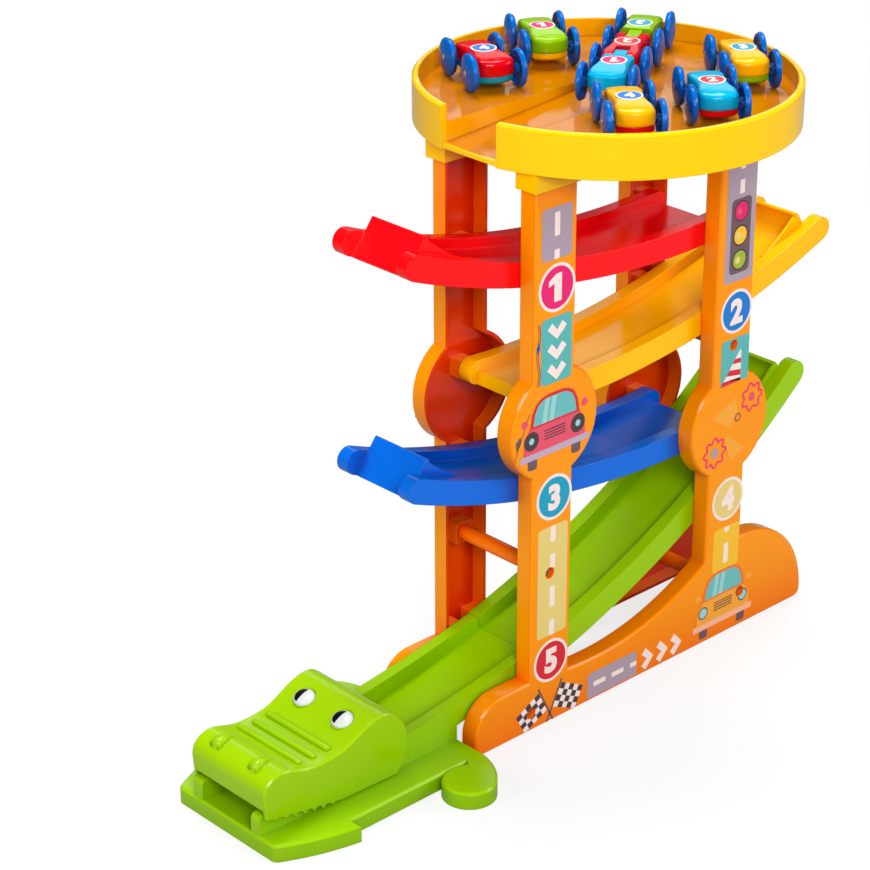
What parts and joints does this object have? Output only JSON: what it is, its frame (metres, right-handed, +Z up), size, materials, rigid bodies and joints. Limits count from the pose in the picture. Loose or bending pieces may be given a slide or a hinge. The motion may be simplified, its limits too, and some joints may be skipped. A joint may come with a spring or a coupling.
{
  "type": "toy race track",
  "caption": "Toy race track: a round parking deck on four posts above tipping ramps that send free-wheeling cars down to a crocodile's hinged mouth.",
  "frame": {"origin": "on the floor under the middle of the toy's bounding box", "axes": "+X along the track, away from the crocodile's mouth; +Y across the track, to the far side frame; +Z up"},
  "size_m": [0.394, 0.1878, 0.3281],
  "materials": {
    "orange_plastic": "glossy injection-moulded",
    "crossbar_plastic": "glossy injection-moulded",
    "deck_plastic": "glossy injection-moulded",
    "red_plastic": "glossy injection-moulded",
    "yellow_plastic": "glossy injection-moulded",
    "blue_plastic": "glossy injection-moulded",
    "green_plastic": "glossy injection-moulded",
    "head_plastic": "glossy injection-moulded",
    "eye_white": "glossy",
    "pupil_black": "glossy",
    "car_red": "glossy injection-moulded",
    "car_teal": "glossy injection-moulded",
    "car_green": "glossy injection-moulded",
    "car_yellow": "glossy injection-moulded",
    "car_cyan": "glossy injection-moulded",
    "wheel_blue": "glossy injection-moulded"
  },
  "bodies": {
    "track": {"side_frame_far": "orange_plastic", "side_frame_near": "orange_plastic", "crossbar_middle": "crossbar_plastic", "crossbar_upper": "crossbar_plastic", "crossbar_front": "crossbar_plastic", "crossbar_rear": "crossbar_plastic", "deck": "deck_plastic", "first_ramp": "red_plastic", "second_ramp": "yellow_plastic", "third_ramp": "blue_plastic", "fourth_ramp": "green_plastic", "crocodile_base": "green_plastic"},
    "head": {"crocodile_head": "head_plastic", "crocodile_eyes": "eye_white", "crocodile_pupils": "pupil_black"},
    "red_car": {"red_car_shell": "car_red", "red_car_chassis": "car_teal"},
    "red_car_front_wheelset": {"red_car_front_wheels": "wheel_blue"},
    "red_car_rear_wheelset": {"red_car_rear_wheels": "wheel_blue"},
    "green_car": {"green_car_shell": "car_green", "green_car_chassis": "car_yellow"},
    "green_car_front_wheelset": {"green_car_front_wheels": "wheel_blue"},
    "green_car_rear_wheelset": {"green_car_rear_wheels": "wheel_blue"},
    "blue_car": {"blue_car_shell": "car_cyan", "blue_car_chassis": "car_red"},
    "blue_car_front_wheelset": {"blue_car_front_wheels": "wheel_blue"},
    "blue_car_rear_wheelset": {"blue_car_rear_wheels": "wheel_blue"},
    "yellow_car": {"yellow_car_shell": "car_yellow", "yellow_car_chassis": "car_red"},
    "yellow_car_front_wheelset": {"yellow_car_front_wheels": "wheel_blue"},
    "yellow_car_rear_wheelset": {"yellow_car_rear_wheels": "wheel_blue"},
    "amber_car": {"amber_car_shell": "car_yellow", "amber_car_chassis": "car_green"},
    "amber_car_front_wheelset": {"amber_car_front_wheels": "wheel_blue"},
    "amber_car_rear_wheelset": {"amber_car_rear_wheels": "wheel_blue"},
    "train_lead": {"train_lead_shell": "car_cyan", "train_lead_chassis": "car_yellow"},
    "train_middle": {"train_middle_shell": "car_red", "train_middle_chassis": "car_teal"},
    "train_tail": {"train_tail_shell": "car_green", "train_tail_chassis": "car_red"},
    "train_wheelset_1": {"train_wheels_1": "wheel_blue"},
    "train_wheelset_2": {"train_wheels_2": "wheel_blue"},
    "train_wheelset_3": {"train_wheels_3": "wheel_blue"},
    "train_wheelset_4": {"train_wheels_4": "wheel_blue"}
  },
  "joints": [
    {"name": "head_hinge", "type": "hinge", "parent": "track", "child": "head", "pos_m": [-0.118, 0, 0.024], "axis": [0, 1, 0], "range_deg": [0, 28]},
    {"name": "red_car_lift", "type": "slide", "parent": "track", "child": "red_car", "axis": [0, 0, 1], "range_m": [0, 0.06]},
    {"name": "red_car_front_spin", "type": "hinge", "parent": "red_car", "child": "red_car_front_wheelset", "pos_m": [0.01204, 0.03698, 0.31865], "axis": [0.9272, -0.3746, 0], "continuous": true},
    {"name": "red_car_rear_spin", "type": "hinge", "parent": "red_car", "child": "red_car_rear_wheelset", "pos_m": [0.02271, 0.0634, 0.31865], "axis": [0.9272, -0.3746, 0], "continuous": true},
    {"name": "green_car_lift", "type": "slide", "parent": "track", "child": "green_car", "axis": [0, 0, 1], "range_m": [0, 0.06]},
    {"name": "green_car_front_spin", "type": "hinge", "parent": "green_car", "child": "green_car_front_wheelset", "pos_m": [0.05797, 0.04589, 0.31865], "axis": [0.8572, -0.515, 0], "continuous": true},
    {"name": "green_car_rear_spin", "type": "hinge", "parent": "green_car", "child": "green_car_rear_wheelset", "pos_m": [0.07265, 0.07032, 0.31865], "axis": [0.8572, -0.515, 0], "continuous": true},
    {"name": "blue_car_lift", "type": "slide", "parent": "track", "child": "blue_car", "axis": [0, 0, 1], "range_m": [0, 0.06]},
    {"name": "blue_car_front_spin", "type": "hinge", "parent": "blue_car", "child": "blue_car_front_wheelset", "pos_m": [0.05118, -0.07054, 0.31865], "axis": [0.809, -0.5878, 0], "continuous": true},
    {"name": "blue_car_rear_spin", "type": "hinge", "parent": "blue_car", "child": "blue_car_rear_wheelset", "pos_m": [0.06793, -0.04748, 0.31865], "axis": [0.809, -0.5878, 0], "continuous": true},
    {"name": "yellow_car_lift", "type": "slide", "parent": "track", "child": "yellow_car", "axis": [0, 0, 1], "range_m": [0, 0.06]},
    {"name": "yellow_car_front_spin", "type": "hinge", "parent": "yellow_car", "child": "yellow_car_front_wheelset", "pos_m": [0.006, -0.06038, 0.31865], "axis": [0.809, -0.5878, 0], "continuous": true},
    {"name": "yellow_car_rear_spin", "type": "hinge", "parent": "yellow_car", "child": "yellow_car_rear_wheelset", "pos_m": [0.02276, -0.03732, 0.31865], "axis": [0.809, -0.5878, 0], "continuous": true},
    {"name": "amber_car_lift", "type": "slide", "parent": "track", "child": "amber_car", "axis": [0, 0, 1], "range_m": [0, 0.06]},
    {"name": "amber_car_front_spin", "type": "hinge", "parent": "amber_car", "child": "amber_car_front_wheelset", "pos_m": [0.10129, -0.0462, 0.31865], "axis": [0.8192, -0.5736, 0], "continuous": true},
    {"name": "amber_car_rear_spin", "type": "hinge", "parent": "amber_car", "child": "amber_car_rear_wheelset", "pos_m": [0.11764, -0.02286, 0.31865], "axis": [0.8192, -0.5736, 0], "continuous": true},
    {"name": "train_lift", "type": "slide", "parent": "track", "child": "train_middle", "axis": [0, 0, 1], "range_m": [0, 0.06]},
    {"name": "train_front_link", "type": "hinge", "parent": "train_middle", "child": "train_lead", "pos_m": [0.0633, 0.00242, 0.31865], "axis": [0.5299, -0.848, 0], "range_deg": [-18, 0]},
    {"name": "train_rear_link", "type": "hinge", "parent": "train_middle", "child": "train_tail", "pos_m": [0.08959, 0.01884, 0.31865], "axis": [0.5299, -0.848, 0], "range_deg": [0, 18]},
    {"name": "train_spin_1", "type": "hinge", "parent": "train_lead", "child": "train_wheelset_1", "pos_m": [0.03701, -0.01401, 0.31865], "axis": [0.5299, -0.848, 0], "continuous": true},
    {"name": "train_spin_2", "type": "hinge", "parent": "train_middle", "child": "train_wheelset_2", "pos_m": [0.0633, 0.00242, 0.31865], "axis": [0.5299, -0.848, 0], "continuous": true},
    {"name": "train_spin_3", "type": "hinge", "parent": "train_middle", "child": "train_wheelset_3", "pos_m": [0.08959, 0.01884, 0.31865], "axis": [0.5299, -0.848, 0], "continuous": true},
    {"name": "train_spin_4", "type": "hinge", "parent": "train_tail", "child": "train_wheelset_4", "pos_m": [0.11588, 0.03527, 0.31865], "axis": [0.5299, -0.848, 0], "continuous": true}
  ]
}
